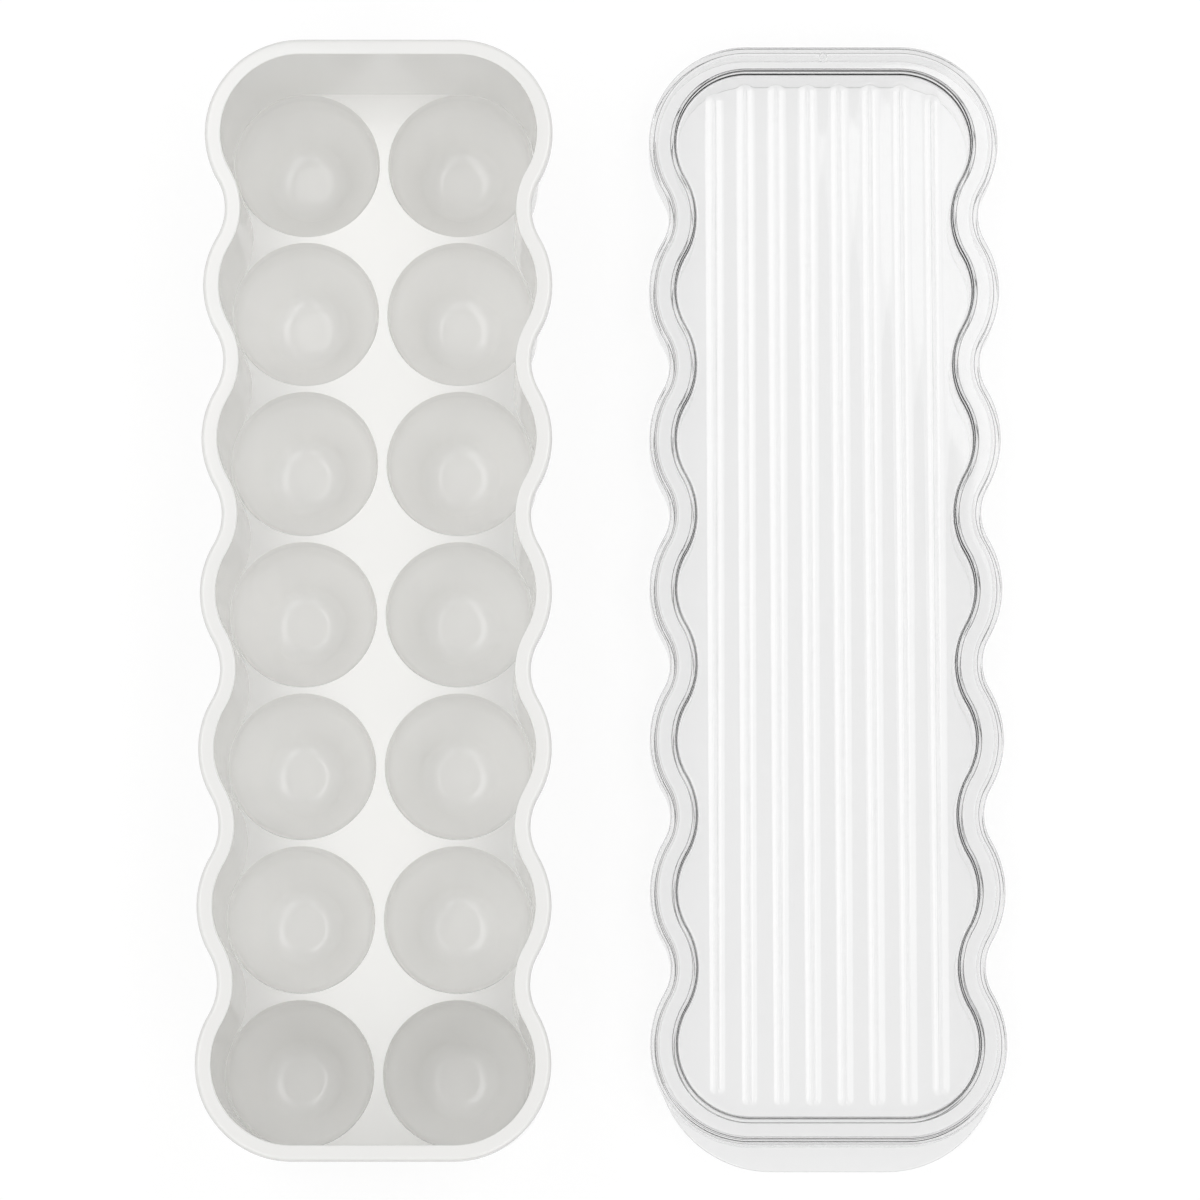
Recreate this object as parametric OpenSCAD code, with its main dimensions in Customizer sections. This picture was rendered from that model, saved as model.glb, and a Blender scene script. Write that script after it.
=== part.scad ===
// Two-row keeper bin with scalloped sides, and its loose clear lid laid down beside it.
// Millimetres. X runs across, Y along the bin, Z up. The origin is at the middle of the
// whole group's box, on the surface that both pieces rest on.

/* [Wells] */
// Distance between the two columns of wells
column_pitch = 48.4; // [46:0.2:56]
// Distance between neighbouring rows of wells
row_pitch = 47.7; // [46.5:0.1:56]
// Number of rows of wells
rows = 7; // [3:1:9]
// Diameter of a well at the deck
well_d = 45.8; // [38:0.2:46]
// Diameter of the flat at the bottom of a well
well_flat_d = 15.5; // [10:0.5:20]
// Radius between a well's side and its flat
well_fillet = 4; // [2:0.5:8]
// Wall thickness of a well
well_t = 1.7; // [1.2:0.1:2]

/* [Tray] */
// Height of the tray from the surface to the top of its rim
tray_h = 77; // [68:1:100]
// Depth of the deck below the top of the rim
deck_depth = 46.5; // [35:0.5:50]
// Thickness of the deck
deck_t = 2; // [1.2:0.1:3]
// Thickness of the side wall at its foot
wall = 1.8; // [1.6:0.1:2.6]
// Lean of the side wall, in degrees
draft = 1.7; // [1:0.1:3]
// Deck left between a well and the side wall
well_ledge = 0.2; // [0.1:0.05:1]
// How far the side waves in between two rows
wave_depth = 6.4; // [3:0.2:8]

/* [Rim] */
// Width of the rim's flat top, from its inner to its outer edge
rim_w = 4.8; // [4:0.1:6]
// Thickness of the rim
rim_t = 2.2; // [1.6:0.1:3]
// Height of the rim's turned-down edge
rim_lip_h = 5; // [3.5:0.5:8]
// Thickness of the rim's turned-down edge
rim_lip_t = 1.5; // [1.2:0.1:1.8]
// Rounding of the rim's outer edge
rim_round = 1.4; // [0.6:0.1:1.5]
// Bevel of the rim's inner edge
rim_bevel = 0.4; // [0.2:0.1:0.8]

/* [Lid] */
// Thickness of the lid's rim
lid_t = 2; // [1.4:0.1:3]
// Thickness of the lid's outer skirt
skirt_t = 1.5; // [1.2:0.1:2]
// Height of the lid's outer skirt, from the top of the lid
skirt_h = 15; // [12:0.5:18]
// Rounding of the lid's outer edge
lid_round = 1.1; // [0.5:0.1:1.2]
// Thickness of the locating wall that reaches into the tray
plug_t = 1.3; // [1:0.1:2]
// Height of the locating wall, from the top of the lid
plug_h = 20; // [18.5:0.5:26]
// Clearance between the tray's rim and the lid's skirt
skirt_gap = 0.3; // [0.2:0.05:0.6]
// Clearance between the tray's wall and the locating wall
plug_gap = 0.35; // [0.2:0.05:0.6]

/* [Panel] */
// Depth of the middle panel below the top of the lid
panel_drop = 2.4; // [1.5:0.1:4]
// Thickness of the middle panel
panel_t = 1.8; // [1.4:0.1:2.4]
// Number of ribs on the panel
ribs = 8; // [4:1:8]
// Distance between neighbouring ribs
rib_pitch = 9.9; // [6:0.1:10.2]
// Width of a rib
rib_w = 2.2; // [1.2:0.1:3]
// Height of a rib above the panel
rib_h = 0.9; // [0.5:0.05:1]
// Distance from the ribs' ends to the edge of the panel
rib_margin = 4.8; // [3:0.2:12]

/* [Pull lip] */
// Reach of the pull lip beyond the lid's near end
lip_reach = 8; // [4:0.5:12]
// Thickness of the pull lip
lip_t = 1.8; // [1.2:0.1:3]
// Depth of the pull lip's upper face below the top of the lid
lip_drop = 7; // [4:0.5:9]
// Radius of the pull lip's corners
lip_corner = 35.5; // [33:0.5:40]
// How far the pull lip's corners stay inside the lid's sides
lip_inset = 2; // [1:0.25:4]

/* [Gate mark] */
// Diameter of the moulding gate's mark on the lid's far rim
gate_d = 3; // [2:0.2:4]
// Depth of the gate's mark
gate_depth = 0.4; // [0.2:0.05:0.8]

/* [Placing] */
// Gap between the tray and the lid laid beside it
beside_gap = 30.2; // [5:0.2:80]
// How far the lid's middle lies beyond the tray's, along the tray
beside_shift = 10.2; // [-20:0.2:20]

/* [Hidden] */
$fn = 96;

// Step that takes a cut past the face it leaves by
cut_past = 1;
// Overlap that lets two faces which would only graze each other cross
crossing = 0.03;
// Steps in a rounded edge or a fillet
round_steps = 4;

deck_z = tray_h - deck_depth;
well_r = well_d / 2;
column_x = column_pitch / 2;
end_y = (rows - 1) * row_pitch / 2;

// Outward lean of a drafted face over a height
function lean(h) = h * tan(draft);

// The rim's inner edge: bulges centred on the wells, and waists centred outside, between them
bulge_r = well_r + well_ledge + lean(deck_depth);
arc_sum = (pow(row_pitch / 2, 2) + pow(wave_depth, 2)) / (2 * wave_depth);
waist_r = arc_sum - bulge_r;
waist_x = column_x + arc_sum - wave_depth;

// Distances out from the rim's inner edge
foot_d = -lean(tray_h);
skirt_d = rim_w + skirt_gap;
lid_d = skirt_d + skirt_t;
panel_d = -plug_gap - plug_t;

tray_half_w = column_x + bulge_r + rim_w;
tray_half_l = end_y + bulge_r + rim_w;
lid_half_w = column_x + bulge_r + lid_d;
lid_half_l = end_y + bulge_r + lid_d;
seat_z = plug_h - lid_t;
panel_z = plug_h - panel_drop;

// The lid's middle, measured from the tray's
lid_dx = tray_half_w + beside_gap + lid_half_w;
lid_dy = beside_shift;

// Middle of the whole group's box, measured from the tray's middle
group_x = (lid_dx + lid_half_w - tray_half_w) / 2;
group_far = max(tray_half_l, lid_dy + lid_half_l);
group_near = min(-tray_half_l, lid_dy - lid_half_l - lip_reach);
group_y = (group_far + group_near) / 2;

function row_y(i) = i * row_pitch - end_y;

function arc_points(centre, r, from, to) =
    [for (i = [0 : round_steps]) let (a = from + (to - from) * i / round_steps)
        centre + r * [cos(a), sin(a)]];

// Line from well to waist to well along the right side
function side_line() = [
    for (i = [0 : rows - 1]) each concat([[column_x, row_y(i)]],
        i == rows - 1 ? [] : [[waist_x, row_y(i) + row_pitch / 2]])
];

// Turned section: the axis, then each point moved out from it by r
function turned(section, r, way) =
    concat([[0, section[0][1]]], [for (p = section) [r + way * p[0], p[1]]],
        [[0, section[len(section) - 1][1]]]);

module at_wells() {
    for (x = [-column_x, column_x], i = [0 : rows - 1]) translate([x, row_y(i), 0]) children();
}

module at_waists() {
    for (x = [-waist_x, waist_x], i = [0 : rows - 2])
        translate([x, row_y(i) + row_pitch / 2, 0]) children();
}

// Solid with the scalloped outline. The section lists points from the bottom up, each with
// its distance out from the rim's inner edge and its height.
module scalloped(section) {
    low = section[0][1];
    high = section[len(section) - 1][1];
    end_face = [for (p = section) [end_y + bulge_r + p[0] - crossing, p[1]]];
    difference() {
        union() {
            translate([0, 0, low]) linear_extrude(high - low)
                polygon(concat(side_line(), [for (p = side_line()) -p]));
            translate([-column_x, 0, 0]) rotate([90, 0, 90]) linear_extrude(2 * column_x)
                polygon(concat([[0, low]], end_face, [[0, high]]));
            translate([column_x, 0, 0]) rotate([90, 0, -90]) linear_extrude(2 * column_x)
                polygon(concat([[0, low]], end_face, [[0, high]]));
            at_wells() rotate_extrude() polygon(turned(section, bulge_r, 1));
        }
        at_waists() rotate_extrude() polygon(turned(section, waist_r + crossing, -1));
    }
}

// Straight-sided solid with the scalloped outline, d outside the rim's inner edge
module scalloped_slab(d, low, high) {
    scalloped([[d, low], [d, high]]);
}

// Section of a well: the cavity at grow = 0, and the outside of its wall at grow = well_t
function well_section(grow, top) =
    let (centre = [well_flat_d / 2, well_t + well_fillet],
        to_edge = [well_r, deck_z] - centre,
        slope = atan2(to_edge[1], to_edge[0]) - acos(well_fillet / norm(to_edge)),
        edge_r = well_r + grow / cos(slope) + (deck_z - top) * tan(slope))
    concat([[0, centre[1] - well_fillet - grow]],
        arc_points(centre, well_fillet + grow, -90, slope),
        [[edge_r, top], [0, top]]);

// Side wall and rim, filled in
module tray_outside() {
    scalloped(concat([[foot_d + wall, 0], [wall - lean(rim_lip_h), tray_h - rim_lip_h],
        [rim_w, tray_h - rim_lip_h]],
        arc_points([rim_w - rim_round, tray_h - rim_round], rim_round, 0, 90)));
}

// Channel between the rim's turned-down edge and the side wall
module rim_channel() {
    difference() {
        scalloped_slab(rim_w - rim_lip_t, tray_h - rim_lip_h - cut_past, tray_h - rim_t);
        scalloped([[foot_d + wall + crossing, 0], [wall + crossing, tray_h]]);
    }
}

// Room above the deck
module tray_inside() {
    scalloped([[-lean(deck_depth), deck_z], [-lean(rim_bevel), tray_h - rim_bevel],
        [rim_bevel, tray_h], [rim_bevel, tray_h + cut_past]]);
}

// Open space under the deck, round the wells' walls
module tray_underside() {
    difference() {
        scalloped_slab(foot_d, -cut_past, deck_z - deck_t);
        at_wells() rotate_extrude() polygon(well_section(well_t, deck_z - deck_t / 2));
    }
}

module well_cavities() {
    at_wells() {
        rotate_extrude() polygon(well_section(0, deck_z));
        translate([0, 0, deck_z - crossing]) cylinder(h = cut_past, r = well_r);
    }
}

// Lid's rim and outer skirt, filled in over the panel
module lid_outside() {
    difference() {
        scalloped(concat([[lid_d, plug_h - skirt_h]],
            arc_points([lid_d - lid_round, plug_h - lid_round], lid_round, 0, 90)));
        scalloped_slab(skirt_d, plug_h - skirt_h - cut_past, seat_z);
    }
}

// Locating wall, filled in, up to the middle of the lid's rim
module plug_outside() {
    scalloped([[-plug_gap - lean(seat_z), 0], [-plug_gap + lean(lid_t / 2), seat_z + lid_t / 2]]);
}

// Open space under the panel, inside the locating wall
module lid_underside() {
    scalloped([[panel_d - lean(seat_z + cut_past), -cut_past],
        [panel_d - lean(panel_drop + panel_t - lid_t), panel_z - panel_t]]);
}

module ribs_on_panel() {
    reach = bulge_r + panel_d - rib_margin;
    for (i = [0 : ribs - 1]) {
        x = (i - (ribs - 1) / 2) * rib_pitch;
        past_column = max(0, abs(x) - column_x);
        half_l = end_y + sqrt(pow(reach, 2) - pow(past_column, 2)) - rib_w / 2;
        translate([x, -half_l, panel_z + rib_h - rib_w / 2]) {
            rotate([-90, 0, 0]) cylinder(h = 2 * half_l, d = rib_w);
            sphere(d = rib_w);
            translate([0, 2 * half_l, 0]) sphere(d = rib_w);
        }
    }
}

// Thumb lip at the near end, outside the skirt
module pull_lip() {
    outer_y = lid_half_l + lip_reach;
    centre_x = lid_half_w - lip_corner - lip_inset;
    skirt_mid = bulge_r + lid_d - skirt_t / 2;
    translate([0, 0, plug_h - lip_drop - lip_t]) linear_extrude(lip_t) difference() {
        union() {
            for (x = [-centre_x, centre_x]) translate([x, lip_corner - outer_y]) circle(lip_corner);
            translate([-centre_x, -outer_y]) square([2 * centre_x, lip_corner]);
        }
        for (x = [-column_x, column_x]) translate([x, -end_y]) circle(skirt_mid);
        translate([-column_x, -end_y - skirt_mid]) square([2 * column_x, skirt_mid]);
        translate([-lid_half_w, -end_y]) square([2 * lid_half_w, lid_half_w]);
    }
}

module gate_mark() {
    translate([0, end_y + bulge_r + lid_d / 2, plug_h - gate_depth])
        cylinder(h = cut_past, d = gate_d);
}

module tray() {
    color([0.94, 0.94, 0.93]) translate([-group_x, -group_y, 0]) difference() {
        tray_outside();
        tray_inside();
        tray_underside();
        rim_channel();
        well_cavities();
    }
}

module lid() {
    color([0.85, 0.89, 0.91, 0.45]) translate([lid_dx - group_x, lid_dy - group_y, 0]) {
        difference() {
            union() {
                lid_outside();
                plug_outside();
            }
            lid_underside();
            scalloped_slab(panel_d, panel_z, plug_h + cut_past);
            gate_mark();
        }
        ribs_on_panel();
        pull_lip();
    }
}

tray();
lid();
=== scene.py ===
# Two-row keeper bin with scalloped sides, and its loose clear lid laid down beside it.
from math import acos, atan2, cos, degrees, hypot, pi, radians, sin, tan

import bmesh
import bpy
from mathutils import Matrix, Vector


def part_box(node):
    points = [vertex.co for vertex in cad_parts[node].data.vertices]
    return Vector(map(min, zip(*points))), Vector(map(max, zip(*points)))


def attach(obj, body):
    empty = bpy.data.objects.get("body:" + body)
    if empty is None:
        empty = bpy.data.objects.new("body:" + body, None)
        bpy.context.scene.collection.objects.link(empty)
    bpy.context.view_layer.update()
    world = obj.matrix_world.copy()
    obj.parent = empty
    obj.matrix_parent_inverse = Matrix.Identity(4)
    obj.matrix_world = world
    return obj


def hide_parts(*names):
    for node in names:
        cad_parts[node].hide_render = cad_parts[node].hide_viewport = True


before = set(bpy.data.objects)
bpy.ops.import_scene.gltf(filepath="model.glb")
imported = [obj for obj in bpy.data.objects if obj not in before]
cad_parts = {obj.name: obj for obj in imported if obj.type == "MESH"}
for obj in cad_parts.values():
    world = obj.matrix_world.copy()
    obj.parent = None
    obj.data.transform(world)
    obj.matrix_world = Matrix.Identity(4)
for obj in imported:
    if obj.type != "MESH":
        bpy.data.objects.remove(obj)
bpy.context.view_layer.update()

MM = 0.001

# Driving sizes in millimetres, the same as in the part's source
COLUMN_X = 24.2
ROW_PITCH = 47.7
ROWS = 7
WELL_R = 22.9
WELL_FLAT_R = 7.75
WELL_FILLET = 4.0
WELL_T = 1.7
TRAY_H = 77.0
DECK_DEPTH = 46.5
DECK_T = 2.0
WALL = 1.8
DRAFT = radians(1.7)
WELL_LEDGE = 0.2
WAVE_DEPTH = 6.4
RIM_W = 4.8
RIM_T = 2.2
RIM_LIP_H = 5.0
RIM_LIP_T = 1.5
RIM_ROUND = 1.4
RIM_BEVEL = 0.4
LID_T = 2.0
SKIRT_T = 1.5
SKIRT_H = 15.0
PLUG_T = 1.3
PLUG_H = 20.0
SKIRT_GAP = 0.3
PLUG_GAP = 0.35
PANEL_DROP = 2.4
PANEL_T = 1.8
RIBS = 8
RIB_PITCH = 9.9
RIB_W = 2.2
RIB_H = 0.9
RIB_MARGIN = 4.8
LIP_REACH = 8.0
LIP_T = 1.8
LIP_DROP = 7.0
LIP_CORNER = 35.5
LIP_INSET = 2.0
GATE_D = 3.0

# Roundings that only the looks need
MOULD_EDGE = 0.4      # edge that a mould's parting leaves
INNER_CORNER = 0.5    # corner inside a moulding
CHANNEL_CORNER = 0.4  # corner inside the rim's channel
LID_EDGE = 0.6        # edge along the top of the lid's skirt
SKIRT_CORNER = 1.7    # corner under the lid's rim, clear of the tray's rounded edge
PANEL_CORNER = 0.8    # corners where the panel's edge turns up to the rim
WELL_EDGE = 0.16      # edge between a well and the deck
WELL_BOWL = 4.0       # what rounds a well's bottom more softly than its fillet alone
WELL_DRAFT = radians(6)  # lean of a well's side near the deck
WELL_BEND_H = 9.0     # from the deck down to where its side turns in
WELL_BEND = 20.0      # radius of that turn
RIB_BASE_R = 3.3      # from a rib's middle to where its base rises from the panel
RIB_BASE_H = 0.4      # rise of the base up to the bead
RIB_BASE_STEPS = 6    # steps of that rise
BEAD_R = 0.62         # round bead along a rib's top
BEAD_FOOT = 0.08      # corner between the base and the bead
BEAD_ANGLES = (20, 34, 48, 60, 71, 81)  # degrees at points up the bead
LIP_EDGE = 0.6        # edge of the thumb lip
LIP_FADE = 6.0        # length over which the lip's edge fades into the skirt
GATE_SECTION = ((0, 0), (-0.15, 0.1), (-0.4, 0.4), (-0.9, 0.4), (-1.1, 0.15))  # out, down

# Fineness of the meshes, in degrees, millimetres and steps
ARC_STEP = 3.75       # degrees a step along the outline
CLEAR_ARC_STEP = 1.875  # the same for the clear lid, where light bends at every facet
ROUND_STEPS = (5, 10)  # fewest and most steps round a corner of a section
ROUND_STEP = 0.15     # radius for each of those steps
WELL_STEPS = 72       # steps round a well
END_STEPS = 32        # steps round a rib's two ends and round the gate's mark
SHARP = 35            # degrees from which an edge is shaded sharp

# Working lengths, in millimetres
LEAD = 1.0            # straight stretch before a section's first corner and after its last
PAST = 1.0            # step that takes a cutter past what it cuts
MOUTH_CLEAR = 0.05    # from the ring round a well's mouth to the side wall
JOIN = 0.004          # points this near are one
SAME_LEVEL = 1e-4     # heights this near are one
TOUCH = 0.001         # allowance on a height or a place
ON_FACE = 0.01        # allowance on a point of the skirt's face

# Light of the floor and the surroundings, where 1 is white. Directions are parts of a unit vector.
FLOOR_HALF = 6.0      # metres from the floor's middle to its edge
FLOOR_GLOW = 0.83     # of the floor where the camera sees it
FLOOR_BEHIND = 0.74   # of the floor where a clear or glossy piece shows it
FLOOR_NEAR = 0.1      # the same in front of the keeper: painted shade that draws the dark line along the lid's near end
FLOOR_FADE = (-0.26, -0.19)  # metres along Y, from the near floor to the rest
HORIZON = 0.25        # light from the sides
OVERHEAD = 0.43       # light from above
RISE = (0.3, 0.85)    # upward part of the direction, from the sides to above
STRIP = 1.22          # light of two strips overhead
STRIP_AT = 0.36       # sideways part of the direction to their middles
STRIP_FADE = (0.28, 0.1)  # distance from a middle, from no strip to its full light
BEHIND = 0.95         # surroundings where a clear piece shows them
BEHIND_NEAR = 0.04    # what is left of that on the near side, which draws the skirt's dark line
BEHIND_FADE = (-0.7, -0.45)  # Y part of the direction, from the near side to the rest
FRONT = 1.8           # times the light on the near side, for all other light
FRONT_FADE = (-0.6, -0.1)  # Y part of the direction, from there to the rest

# Lamps and camera, in metres, watts and millimetres of the film
SOFTBOX_AT = (0.68, 0.3, 1.5)
SOFTBOX_SIZE = 0.9
SOFTBOXES = (("softbox_left", -1, 3.0), ("softbox_right", 1, 2.8))  # name, side, watts
CAMERA_AT = (-0.0023, -0.2786, 1.8109)
CAMERA_TILT = radians(8.85)
LENS = 173.5
FILM_W = 36


def lean(height):
    """Outward lean of a drafted face over a height"""
    return height * tan(DRAFT)


# The rim's inner edge: bulges about the wells, and waists about centres outside, between them
BULGE_R = WELL_R + WELL_LEDGE + lean(DECK_DEPTH)
END_Y = (ROWS - 1) * ROW_PITCH / 2
ARC_SUM = ((ROW_PITCH / 2) ** 2 + WAVE_DEPTH ** 2) / (2 * WAVE_DEPTH)
WAIST_X = COLUMN_X + ARC_SUM - WAVE_DEPTH
TURN = degrees(atan2(ROW_PITCH / 2, WAIST_X - COLUMN_X))

# Heights, and distances outside the rim's inner edge (_D)
DECK_Z = TRAY_H - DECK_DEPTH
SKIRT_D = RIM_W + SKIRT_GAP
LID_D = SKIRT_D + SKIRT_T
PANEL_D = -PLUG_GAP - PLUG_T
PANEL_Z = PLUG_H - PANEL_DROP
LID_HALF_W = COLUMN_X + BULGE_R + LID_D
LID_HALF_L = END_Y + BULGE_R + LID_D
LIP_X = LID_HALF_W - LIP_CORNER - LIP_INSET
LIP_Y = LIP_CORNER - LID_HALF_L - LIP_REACH
LIP_TOP = PLUG_H - LIP_DROP


def row_y(row):
    return row * ROW_PITCH - END_Y


def lip_start():
    """Degrees round the near corner's centre at which the thumb lip leaves the skirt"""
    corner = Vector((COLUMN_X, -END_Y))
    apart = corner - Vector((LIP_X, LIP_Y))
    along = (apart.length ** 2 + (BULGE_R + LID_D) ** 2 - LIP_CORNER ** 2) / (2 * apart.length)
    ahead = degrees(atan2(apart.y, apart.x)) + 180
    return ahead + degrees(acos(along / (BULGE_R + LID_D))) - 360


def right_side(split=None):
    """Arcs of the outline's right side, from the near end to the far end: each one's centre,
    its turn in degrees, and 1 for a bulge or -1 for a waist. The first and last arcs are cut in
    two at split degrees from the side."""
    arcs = []
    for row in range(ROWS):
        first = -90 if row == 0 else -TURN
        last = 90 if row == ROWS - 1 else TURN
        stops = [first, last]
        if row == 0 and split is not None:
            stops = [first, split, last]
        elif row == ROWS - 1 and split is not None:
            stops = [first, -split, last]
        for a, b in zip(stops, stops[1:]):
            arcs.append((COLUMN_X, row_y(row), b - a, 1))
        if row < ROWS - 1:
            arcs.append((WAIST_X, row_y(row) + ROW_PITCH / 2, -2 * TURN, -1))
    return arcs


def new_mesh():
    """Empty mesh with the layer that keeps each point's way outwards"""
    bm = bmesh.new()
    bm.verts.layers.float_vector.new("out")
    return bm


def turn_point(bm, v, centre, turn, way, step=CLEAR_ARC_STEP):
    """Arc of edges from a point round a centre; returns its last point"""
    out = bm.verts.layers.float_vector["out"]
    known = len(bm.verts)
    steps = max(1, round(abs(turn) / step))
    bmesh.ops.spin(bm, geom=[v], cent=centre, axis=(0, 0, 1), angle=radians(turn), steps=steps)
    bm.verts.ensure_lookup_table()
    for p in bm.verts[known:]:
        p[out] = way * (p.co - centre).normalized()
    return bm.verts[-1]


def outline(bm, d, z, step=ARC_STEP, split=None):
    """Closed ring with the scalloped outline, d outside the rim's inner edge. The layer out
    keeps each point's way outwards, by which the ring can grow or shrink."""
    out = bm.verts.layers.float_vector["out"]
    known = len(bm.edges)
    end = END_Y + BULGE_R + d
    first = v = bm.verts.new((COLUMN_X, -end, z))
    v[out] = (0, -1, 0)
    for half in (1, -1):
        for x, y, turn, way in right_side(split):
            v = turn_point(bm, v, Vector((half * x, half * y, z)), turn, way, step)
        if half == 1:
            far = bm.verts.new((-COLUMN_X, end, z))
            far[out] = (0, 1, 0)
            bm.edges.new((v, far))
            v = far
    bm.edges.new((v, first))
    bm.edges.ensure_lookup_table()
    return bm.edges[known:]


def circle(bm, x, y, z, r, steps, half_l=0):
    """Ring of edges round an upright axis, drawn out along Y by half_l to either side"""
    out = bm.verts.layers.float_vector["out"]
    turn = Matrix.Rotation(pi / steps, 4, "Z")
    made = bmesh.ops.create_circle(bm, segments=steps, radius=r, matrix=turn)["verts"]
    for v in made:
        v[out] = v.co.normalized()
        v.co += Vector((x, y + (half_l if v.co.y > 0 else -half_l), z))
    return list({e for v in made for e in v.link_edges})


def sweep(bm, ring, section):
    """Walls from a ring along a section of points (out, up); the ring is at the first one"""
    out = bm.verts.layers.float_vector["out"]
    for a, b in zip(section, section[1:]):
        made = bmesh.ops.extrude_edge_only(bm, edges=ring)["geom"]
        fresh = {g for g in made if isinstance(g, bmesh.types.BMVert)}
        ring = [g for g in made
            if isinstance(g, bmesh.types.BMEdge) and fresh.issuperset(g.verts)]
        for v in fresh:
            v.co += v[out] * (b[0] - a[0]) + Vector((0, 0, b[1] - a[1]))
    return ring


def eased(corners):
    """Section through corners (out, up, radius), each rounded to its radius"""
    points = []
    for i, (x, y, r) in enumerate(corners):
        here = Vector((x, y))
        if r == 0:
            points.append(here)
            continue
        back = (Vector(corners[i - 1][:2]) - here).normalized()
        on = (Vector(corners[i + 1][:2]) - here).normalized()
        half = acos(max(-1, min(1, back.dot(on)))) / 2
        centre = here + (back + on).normalized() * r / sin(half)
        start = (here + back * r / tan(half) - centre) / r
        end = (here + on * r / tan(half) - centre) / r
        steps = min(ROUND_STEPS[1], max(ROUND_STEPS[0], round(r / ROUND_STEP)))
        points += [centre + r * start.slerp(end, k / steps) for k in range(steps + 1)]
    return points


def cap(bm, z):
    """Flat faces between the open edges at a height"""
    level = [e for e in bm.edges
        if e.is_boundary and all(abs(v.co.z - z) < SAME_LEVEL for v in e.verts)]
    bmesh.ops.triangle_fill(bm, use_beauty=True, use_dissolve=False, edges=level)


def solid(bm, name):
    """Object from a closed mesh, still in millimetres about the piece's own middle"""
    bmesh.ops.remove_doubles(bm, verts=bm.verts, dist=JOIN)
    bmesh.ops.recalc_face_normals(bm, faces=bm.faces)
    mesh = bpy.data.meshes.new(name)
    bm.to_mesh(mesh)
    bm.free()
    mesh.attributes.remove(mesh.attributes["out"])
    made = bpy.data.objects.new(name, mesh)
    bpy.context.scene.collection.objects.link(made)
    return made


def cut_away(piece, cutters):
    """Takes the cutters' solids away from the piece"""
    group = bpy.data.collections.new("cutters")
    for cutter in cutters:
        group.objects.link(cutter)
    cut = piece.modifiers.new("cut", "BOOLEAN")
    cut.operation = "DIFFERENCE"
    cut.solver = "EXACT"
    cut.operand_type = "COLLECTION"
    cut.collection = group
    shape = piece.evaluated_get(bpy.context.evaluated_depsgraph_get())
    piece.data = bpy.data.meshes.new_from_object(shape)
    piece.modifiers.clear()
    for cutter in cutters:
        bpy.data.objects.remove(cutter)
    bpy.data.collections.remove(group)


def placed(piece, at, body, material, cad_node):
    """Puts a finished piece in its place, shades it as a moulding and hands it to its body"""
    mesh = piece.data
    mesh.transform(Matrix.Translation(at) @ Matrix.Scale(MM, 4))
    mesh.shade_smooth()
    mesh.set_sharp_from_angle(angle=radians(SHARP))
    mesh.materials.clear()
    mesh.materials.append(material)
    flats = piece.modifiers.new("flat_faces", "WEIGHTED_NORMAL")
    flats.keep_sharp = True
    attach(piece, body)
    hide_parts(cad_node)


def well_section(grow, top):
    """Corners of a well's section from a height down to its flat bottom, for the cavity at
    grow = 0 and the outside of its wall at grow = WELL_T"""
    centre = Vector((WELL_FLAT_R, WELL_T + WELL_FILLET))
    to_edge = Vector((WELL_R, DECK_Z)) - centre
    slope = acos(WELL_FILLET / to_edge.length) - atan2(to_edge.y, to_edge.x)
    foot = Vector((WELL_R - (DECK_Z - WELL_T) * tan(slope), WELL_T))
    bend = Vector((WELL_R - WELL_BEND_H * tan(WELL_DRAFT), DECK_Z - WELL_BEND_H))
    turned = atan2(bend.x - foot.x, bend.y - foot.y)
    ways = [Vector((cos(a), -sin(a))) for a in (WELL_DRAFT, turned, pi / 2)]
    bend, foot = [p + grow * (m + n) / (1 + m.dot(n))
        for p, m, n in zip((bend, foot), ways, ways[1:])]
    edge = bend.x + (top - bend.y) * tan(WELL_DRAFT)
    return [
        (edge, top, 0),
        (*bend, WELL_BEND + grow),
        (*foot, WELL_FILLET + WELL_BOWL + grow),
        (foot.x / 3, foot.y, 0),
    ]


def wells():
    """Middles of all the wells"""
    for x in (-COLUMN_X, COLUMN_X):
        for row in range(ROWS):
            yield x, row_y(row)


def tray_shell():
    """Side wall, rim, deck and wells, filled in under the deck"""
    bm = new_mesh()
    foot_d = WALL - lean(TRAY_H)
    section = eased([
        (foot_d - LEAD, 0, 0),
        (foot_d, 0, MOULD_EDGE),
        (WALL - lean(RIM_T), TRAY_H - RIM_T, CHANNEL_CORNER),
        (RIM_W - RIM_LIP_T, TRAY_H - RIM_T, CHANNEL_CORNER),
        (RIM_W - RIM_LIP_T, TRAY_H - RIM_LIP_H, MOULD_EDGE),
        (RIM_W, TRAY_H - RIM_LIP_H, MOULD_EDGE),
        (RIM_W, TRAY_H, RIM_ROUND),
        (0, TRAY_H, RIM_BEVEL),
        (-lean(DECK_DEPTH), DECK_Z, 0),
    ])
    sweep(bm, outline(bm, *section[0]), section)
    corners = well_section(0, DECK_Z)
    mouth = WELL_R + WELL_LEDGE - MOUTH_CLEAR
    well = eased([(mouth, DECK_Z, 0), (WELL_R, DECK_Z, WELL_EDGE), *corners[1:]])
    for x, y in wells():
        flat = sweep(bm, circle(bm, x, y, DECK_Z, mouth, WELL_STEPS), well)
        bmesh.ops.edgeloop_fill(bm, edges=flat)
    cap(bm, DECK_Z)
    cap(bm, 0)
    return solid(bm, "tray_moulding")


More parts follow.
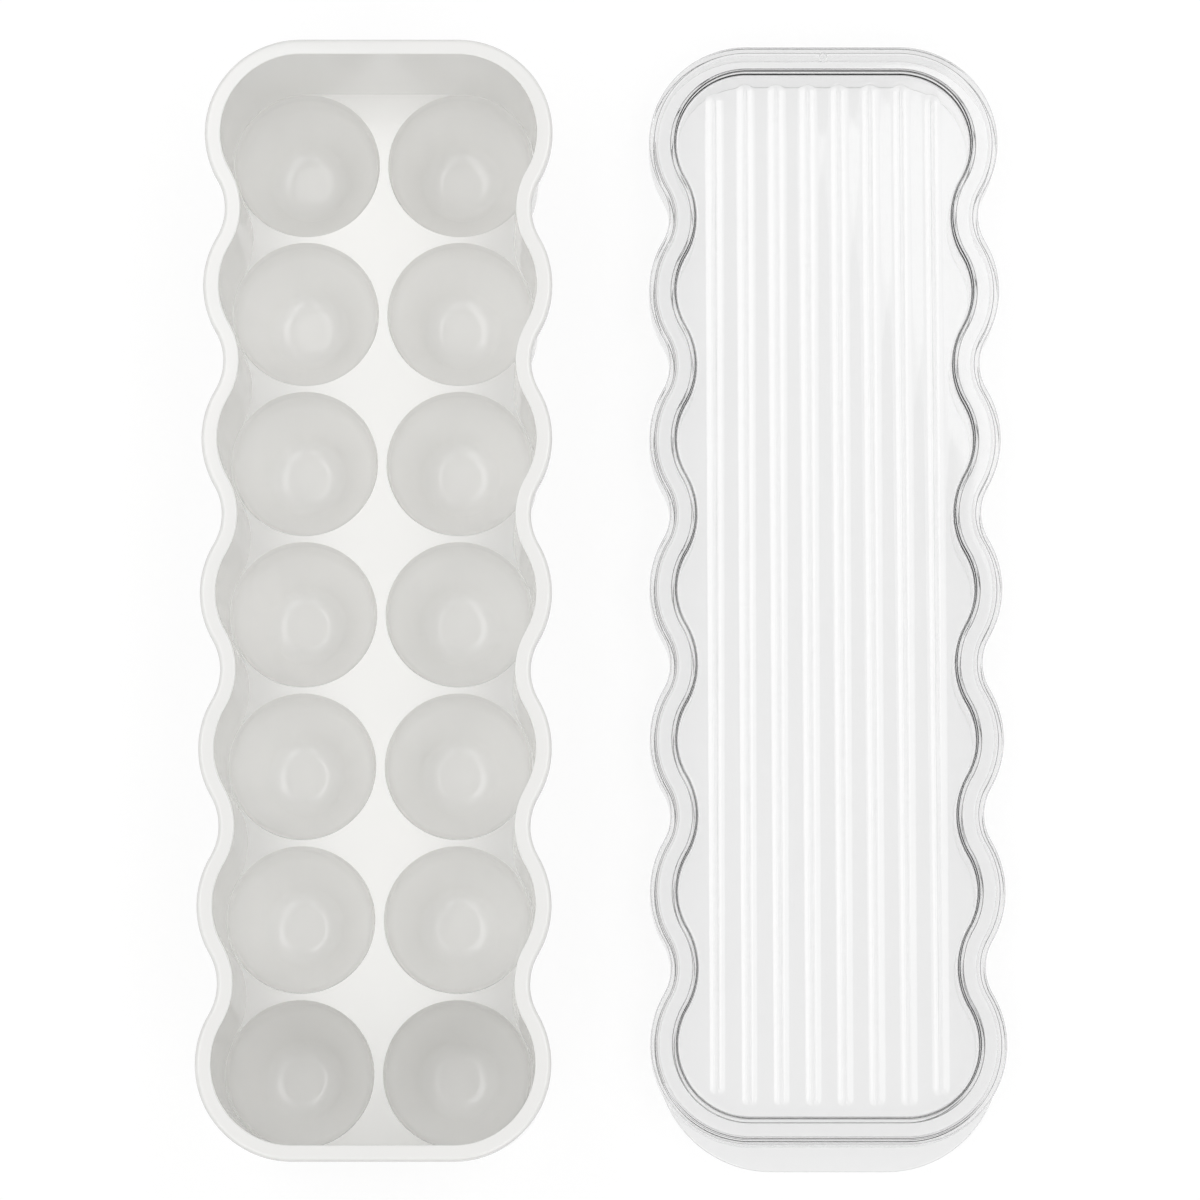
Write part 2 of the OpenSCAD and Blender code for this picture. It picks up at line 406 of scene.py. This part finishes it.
def tray_hollow():
    """Open space under the deck as a solid, less the wells' walls that stand in it"""
    bm = new_mesh()
    wall_d = -lean(TRAY_H)
    section = [Vector((wall_d, -PAST)), Vector((wall_d, DECK_Z - DECK_T))]
    sweep(bm, outline(bm, *section[0]), section)
    cap(bm, -PAST)
    cap(bm, DECK_Z - DECK_T)
    hollow = solid(bm, "hollow")
    top = DECK_Z - DECK_T / 2
    well = eased(well_section(WELL_T, top))
    well.append(well[-1] - Vector((0, 2 * PAST)))
    walls = []
    for x, y in wells():
        bm = new_mesh()
        flat = sweep(bm, circle(bm, x, y, top, well[0].x, WELL_STEPS), well)
        bmesh.ops.edgeloop_fill(bm, edges=flat)
        cap(bm, top)
        walls.append(solid(bm, "well_wall"))
    cut_away(hollow, walls)
    return hollow


def rib(bm, x):
    """Rib along the panel with round ends: a round bead on a base that rises gently"""
    past_column = max(0, abs(x) - COLUMN_X)
    reach = BULGE_R + PANEL_D - RIB_MARGIN
    half_l = END_Y + (reach ** 2 - past_column ** 2) ** 0.5 - RIB_W / 2
    rises = [k / RIB_BASE_STEPS for k in range(RIB_BASE_STEPS)]
    section = [(RIB_BASE_R + (BEAD_R - RIB_BASE_R) * u, PANEL_Z + RIB_BASE_H * u * u, 0)
        for u in rises]
    section.append((BEAD_R, PANEL_Z + RIB_BASE_H, BEAD_FOOT))
    centre_z = PANEL_Z + RIB_H - BEAD_R
    section += [(BEAD_R * cos(radians(a)), centre_z + BEAD_R * sin(radians(a)), 0)
        for a in BEAD_ANGLES]
    section = eased(section)
    ring = circle(bm, x, 0, PANEL_Z, RIB_BASE_R, END_STEPS, half_l)
    bmesh.ops.edgeloop_fill(bm, edges=sweep(bm, ring, section))


def gate_mark(bm):
    """Sunken ring that the moulding gate leaves on the rim's far end"""
    ring = circle(bm, 0, END_Y + BULGE_R + LID_D / 2, PLUG_H, GATE_D / 2, END_STEPS)
    section = [Vector((out, PLUG_H - down)) for out, down in GATE_SECTION]
    bmesh.ops.edgeloop_fill(bm, edges=sweep(bm, ring, section))


def thumb_lip(bm, profile, start):
    """Edge of the thumb lip, from the skirt on the right round to the skirt on the left. It
    fades into the skirt at both ends, where its points don't move."""
    out = bm.verts.layers.float_vector["out"]
    known, known_points = len(bm.edges), len(bm.verts)
    corner = Vector((COLUMN_X, -END_Y, LIP_TOP))
    turn = Vector((cos(radians(start)), sin(radians(start)), 0)) * (BULGE_R + LID_D)
    centre = Vector((LIP_X, LIP_Y, LIP_TOP))
    first = corner + turn
    sweep_angle = degrees(atan2(first.y - centre.y, first.x - centre.x)) + 90
    v = turn_point(bm, bm.verts.new(first), centre, -sweep_angle, 1)
    left = bm.verts.new((-v.co.x, v.co.y, v.co.z))
    bm.edges.new((v, left))
    left[out] = (0, -1, 0)
    centre.x = -centre.x
    turn_point(bm, left, centre, -sweep_angle, 1)
    bm.edges.ensure_lookup_table()
    bm.verts.ensure_lookup_table()
    for p in bm.verts[known_points:]:
        tip = abs(abs(p.co.x) - first.x) + abs(p.co.y - first.y)
        p[out] = p[out] * min(1, tip / LIP_FADE)
        p.co += p[out] * profile[0].x
    sweep(bm, bm.edges[known:], profile)


def on_skirt(point):
    """True for a point on the skirt's outer face at the near end"""
    past_column = max(0, abs(point.x) - COLUMN_X)
    return abs(hypot(past_column, point.y + END_Y) - BULGE_R - LID_D) < ON_FACE


def lid_moulding():
    """Rim, skirt, locating wall, sunken panel with ribs, and thumb lip, as one closed shell"""
    bm = new_mesh()
    start = lip_start()
    rim_low = PLUG_H - LID_T
    lip_low = LIP_TOP - LIP_T
    under = PANEL_Z - PANEL_T
    profile = eased([
        (-LIP_EDGE - LEAD, LIP_TOP, 0),
        (0, LIP_TOP, LIP_EDGE),
        (0, lip_low, LIP_EDGE),
        (-LIP_EDGE - LEAD, lip_low, 0),
    ])[1:-1]
    section = eased([
        (PANEL_D - LEAD, PANEL_Z, 0),
        (PANEL_D, PANEL_Z, PANEL_CORNER),
        (PANEL_D, PLUG_H, PANEL_CORNER),
        (LID_D, PLUG_H, LID_EDGE),
        (LID_D, LIP_TOP + LEAD, 0),
    ])
    section += [Vector((LID_D, p.y)) for p in profile]
    section += eased([
        (LID_D, lip_low - LEAD, 0),
        (LID_D, PLUG_H - SKIRT_H, MOULD_EDGE),
        (SKIRT_D, PLUG_H - SKIRT_H, MOULD_EDGE),
        (SKIRT_D, rim_low, SKIRT_CORNER),
        (-PLUG_GAP, rim_low, INNER_CORNER),
        (-PLUG_GAP - lean(rim_low), 0, MOULD_EDGE),
        (PANEL_D - lean(rim_low), 0, MOULD_EDGE),
        (PANEL_D - lean(rim_low - under), under, INNER_CORNER),
        (PANEL_D - lean(rim_low - under) - LEAD, under, 0),
    ])
    for i in range(RIBS):
        rib(bm, (i - (RIBS - 1) / 2) * RIB_PITCH)
    gate_mark(bm)
    thumb_lip(bm, profile, start)
    sweep(bm, outline(bm, *section[0], CLEAR_ARC_STEP, start), section)

    # The skirt opens behind the lip, and the rim's long far face opens round the gate's mark
    meet_y = (BULGE_R + LID_D) * sin(radians(start)) - END_Y
    behind_lip = [f for f in bm.faces
        if all(on_skirt(v.co) and v.co.y < meet_y + TOUCH
            and lip_low - TOUCH < v.co.z < LIP_TOP + TOUCH for v in f.verts)]
    bmesh.ops.delete(bm, geom=behind_lip, context="FACES")
    long_face = 2 * COLUMN_X  # square millimetres, for that face is over 1 mm wide
    round_gate = [f for f in bm.faces if f.calc_area() > long_face
        and all(v.co.y > END_Y and v.co.z > PLUG_H - TOUCH for v in f.verts)]
    bmesh.ops.delete(bm, geom=round_gate, context="FACES_ONLY")
    bmesh.ops.remove_doubles(bm, verts=bm.verts, dist=JOIN)
    for z in (PANEL_Z, under, LIP_TOP, lip_low, PLUG_H):
        cap(bm, z)
    return solid(bm, "lid_moulding")


def linear(code):
    """Linear colour of an sRGB hex value"""
    parts = [int(code[i:i + 2], 16) / 255 for i in (1, 3, 5)]
    return (*[p / 12.92 if p <= 0.04045 else ((p + 0.055) / 1.055) ** 2.4 for p in parts], 1)


def add(tree, kind, inputs=None, **settings):
    """Node with its settings; an input is a value or the output that feeds it"""
    made = tree.nodes.new(kind)
    for name, value in settings.items():
        setattr(made, name, value)
    for name, value in (inputs or {}).items():
        if isinstance(value, bpy.types.NodeSocket):
            tree.links.new(value, made.inputs[name])
        else:
            made.inputs[name].default_value = value
    return made


def fresh(name):
    """New material with no nodes yet"""
    made = bpy.data.materials.new(name)
    made.use_nodes = True
    made.node_tree.nodes.clear()
    return made, made.node_tree


def white_tray_plastic():
    """ABS, injection moulded in a polished tool and left as moulded: opaque white with a clear
    gloss, a very slight waviness where it shrank, and hair-fine rubs from handling."""
    shrink_size, flow_size, rub_size = 14 * MM, 45 * MM, 3 * MM
    polished, rubbed = 0.06, 0.12
    made, tree = fresh("abs_white_gloss_moulded")
    place = add(tree, "ShaderNodeTexCoord").outputs["Object"]
    shrink = add(tree, "ShaderNodeTexNoise",
        {"Vector": place, "Scale": 1 / shrink_size, "Detail": 2.0})
    flow = add(tree, "ShaderNodeTexNoise",
        {"Vector": place, "Scale": 1 / flow_size, "Detail": 3.0})
    rubs = add(tree, "ShaderNodeTexNoise",
        {"Vector": place, "Scale": 1 / rub_size, "Detail": 6.0, "Roughness": 0.7})
    shade = add(tree, "ShaderNodeMix", {"Factor": flow.outputs["Fac"],
        "A": linear("#F3F3F1"), "B": linear("#F7F6F4")}, data_type="RGBA")
    gloss = add(tree, "ShaderNodeMapRange", {"Value": rubs.outputs["Fac"],
        "From Min": 0.3, "From Max": 0.75, "To Min": polished, "To Max": rubbed})
    wave = add(tree, "ShaderNodeBump",
        {"Height": shrink.outputs["Fac"], "Strength": 0.12, "Distance": 0.1 * MM})
    skin = add(tree, "ShaderNodeBsdfPrincipled", {
        "Base Color": shade.outputs["Result"],
        "Roughness": gloss.outputs["Result"],
        "IOR": 1.53,
        "Normal": wave.outputs["Normal"],
    })
    add(tree, "ShaderNodeOutputMaterial", {"Surface": skin.outputs["BSDF"]})
    return made


def clear_lid_plastic():
    """Styrene acrylonitrile, injection moulded against a polished tool: water-clear with a
    bright gloss. Light from the lamps goes through it, as it does through a thin clear wall."""
    flow_size, rub_size = 30 * MM, 4 * MM
    polished, rubbed = 0.015, 0.05
    made, tree = fresh("san_clear_polished_moulded")
    place = add(tree, "ShaderNodeTexCoord").outputs["Object"]
    flow = add(tree, "ShaderNodeTexNoise",
        {"Vector": place, "Scale": 1 / flow_size, "Detail": 2.0})
    rubs = add(tree, "ShaderNodeTexNoise",
        {"Vector": place, "Scale": 1 / rub_size, "Detail": 5.0, "Roughness": 0.6})
    gloss = add(tree, "ShaderNodeMapRange", {"Value": rubs.outputs["Fac"],
        "From Min": 0.35, "From Max": 0.8, "To Min": polished, "To Max": rubbed})
    wave = add(tree, "ShaderNodeBump",
        {"Height": flow.outputs["Fac"], "Strength": 0.1, "Distance": 0.2 * MM})
    glass = add(tree, "ShaderNodeBsdfPrincipled", {
        "Base Color": linear("#FAFAFA"),
        "Roughness": gloss.outputs["Result"],
        "IOR": 1.57,
        "Transmission Weight": 1.0,
        "Normal": wave.outputs["Normal"],
    })
    through = add(tree, "ShaderNodeBsdfTransparent", {"Color": linear("#F1F1F1")})
    lamp = add(tree, "ShaderNodeLightPath").outputs["Is Shadow Ray"]
    either = add(tree, "ShaderNodeMixShader",
        {0: lamp, 1: glass.outputs["BSDF"], 2: through.outputs["BSDF"]})
    add(tree, "ShaderNodeOutputMaterial", {"Surface": either.outputs["Shader"]})
    return made


def paper_floor():
    """Studio paper, matt white. The camera sees it white, with part of the shadows left on it.
    Clear and glossy pieces show it a little greyer, and show painted shade in front of the keeper,
    which draws the dark line along the lid's near end."""
    made, tree = fresh("paper_white_matt")
    path = add(tree, "ShaderNodeLightPath").outputs
    beyond = add(tree, "ShaderNodeMath",
        {0: path["Is Glossy Ray"], 1: path["Is Transmission Ray"]}, operation="MAXIMUM")
    place = add(tree, "ShaderNodeTexCoord").outputs["Object"]
    parts = add(tree, "ShaderNodeSeparateXYZ", {0: place})
    # Painted shade: clear and glossy pieces see the floor dark in front of the keeper, which draws
    # the lid's dark near line
    near = add(tree, "ShaderNodeMapRange", {"Value": parts.outputs["Y"],
        "From Min": FLOOR_FADE[0], "From Max": FLOOR_FADE[1],
        "To Min": FLOOR_NEAR, "To Max": FLOOR_BEHIND})
    glow = add(tree, "ShaderNodeMix",
        {"Factor": beyond.outputs[0], "A": FLOOR_GLOW, "B": near.outputs[0]}, data_type="FLOAT")
    glowing = add(tree, "ShaderNodeEmission", {"Strength": glow.outputs["Result"]})
    faint = add(tree, "ShaderNodeBsdfDiffuse", {"Color": linear("#7C7C7C")})
    shown = add(tree, "ShaderNodeAddShader", {0: faint.outputs[0], 1: glowing.outputs[0]})
    seen = add(tree, "ShaderNodeMath",
        {0: path["Is Camera Ray"], 1: beyond.outputs[0]}, operation="MAXIMUM")
    matt = add(tree, "ShaderNodeBsdfDiffuse", {"Color": linear("#E4E4E3")})
    mix = add(tree, "ShaderNodeMixShader",
        {0: seen.outputs[0], 1: matt.outputs[0], 2: shown.outputs[0]})
    add(tree, "ShaderNodeOutputMaterial", {"Surface": mix.outputs[0]})
    return made


def floor():
    """Sheet of studio paper under everything"""
    bm = bmesh.new()
    bmesh.ops.create_grid(bm, x_segments=1, y_segments=1, size=FLOOR_HALF)
    mesh = bpy.data.meshes.new("floor")
    bm.to_mesh(mesh)
    bm.free()
    mesh.materials.append(paper_floor())
    made = bpy.data.objects.new("floor", mesh)
    bpy.context.scene.collection.objects.link(made)


def surroundings():
    """Soft light from all round, with two brighter strips overhead. The camera sees white, and
    clear plastic shows a dark near side."""
    world = bpy.data.worlds.new("studio")
    bpy.context.scene.world = world
    world.use_nodes = True
    tree = world.node_tree
    tree.nodes.clear()
    path = add(tree, "ShaderNodeLightPath").outputs
    way = add(tree, "ShaderNodeTexCoord").outputs["Generated"]
    parts = add(tree, "ShaderNodeSeparateXYZ", {0: way}).outputs

    rise = add(tree, "ShaderNodeMapRange", {"Value": parts["Z"],
        "From Min": RISE[0], "From Max": RISE[1]}, interpolation_type="SMOOTHSTEP")
    across = add(tree, "ShaderNodeMath", {0: parts["X"]}, operation="ABSOLUTE")
    apart = add(tree, "ShaderNodeMath", {0: across.outputs[0], 1: STRIP_AT}, operation="SUBTRACT")
    apart = add(tree, "ShaderNodeMath", {0: apart.outputs[0]}, operation="ABSOLUTE")
    strips = add(tree, "ShaderNodeMapRange", {"Value": apart.outputs[0],
        "From Min": STRIP_FADE[0], "From Max": STRIP_FADE[1],
        "To Min": OVERHEAD, "To Max": STRIP}, interpolation_type="SMOOTHSTEP")
    level = add(tree, "ShaderNodeMix",
        {"Factor": rise.outputs[0], "A": HORIZON, "B": strips.outputs[0]}, data_type="FLOAT")
    level = add(tree, "ShaderNodeMix", {"Factor": path["Is Transmission Ray"],
        "A": level.outputs["Result"], "B": BEHIND}, data_type="FLOAT")

    front = add(tree, "ShaderNodeMapRange", {"Value": parts["Y"],
        "From Min": FRONT_FADE[0], "From Max": FRONT_FADE[1],
        "To Min": FRONT, "To Max": 1.0}, interpolation_type="SMOOTHSTEP")
    behind = add(tree, "ShaderNodeMapRange", {"Value": parts["Y"],
        "From Min": BEHIND_FADE[0], "From Max": BEHIND_FADE[1],
        "To Min": BEHIND_NEAR, "To Max": 1.0}, interpolation_type="SMOOTHSTEP")
    near = add(tree, "ShaderNodeMix", {"Factor": path["Is Transmission Ray"],
        "A": front.outputs[0], "B": behind.outputs[0]}, data_type="FLOAT")
    light = add(tree, "ShaderNodeMath",
        {0: level.outputs["Result"], 1: near.outputs["Result"]}, operation="MULTIPLY")

    dim = add(tree, "ShaderNodeBackground",
        {"Color": (1, 1, 1, 1), "Strength": light.outputs[0]})
    white = add(tree, "ShaderNodeBackground", {"Color": (1, 1, 1, 1), "Strength": 1.0})
    mix = add(tree, "ShaderNodeMixShader",
        {0: path["Is Camera Ray"], 1: dim.outputs[0], 2: white.outputs[0]})
    add(tree, "ShaderNodeOutputWorld", {"Surface": mix.outputs[0]})


def softboxes():
    """Two square softboxes, above to the left and the right, turned to the keeper"""
    for name, side, watts in SOFTBOXES:
        lamp = bpy.data.lights.new(name, "AREA")
        lamp.shape = "RECTANGLE"
        lamp.size = lamp.size_y = SOFTBOX_SIZE
        lamp.energy = watts
        box = bpy.data.objects.new(name, lamp)
        box.location = (side * SOFTBOX_AT[0], *SOFTBOX_AT[1:])
        box.rotation_euler = (-box.location).to_track_quat("-Z", "Y").to_euler()
        bpy.context.scene.collection.objects.link(box)


def camera():
    """Long lens above the near end, tilted a little towards the far end"""
    data = bpy.data.cameras.new("camera")
    data.sensor_width = FILM_W
    data.lens = LENS
    made = bpy.data.objects.new("camera", data)
    made.location = CAMERA_AT
    made.rotation_euler = (CAMERA_TILT, 0, 0)
    bpy.context.scene.collection.objects.link(made)
    bpy.context.scene.camera = made


bpy.context.scene.view_settings.view_transform = "Standard"
camera()
floor()
surroundings()
softboxes()

tray = tray_shell()
cut_away(tray, [tray_hollow()])
tray_low, tray_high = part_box("tray")
tray_at = (tray_low + tray_high) / 2
placed(tray, (tray_at.x, tray_at.y, 0), "tray", white_tray_plastic(), "tray")

lid = lid_moulding()
lid_low, lid_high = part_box("lid")
lid_at = ((lid_low.x + lid_high.x) / 2, lid_high.y - LID_HALF_L * MM, 0)
placed(lid, lid_at, "lid", clear_lid_plastic(), "lid")
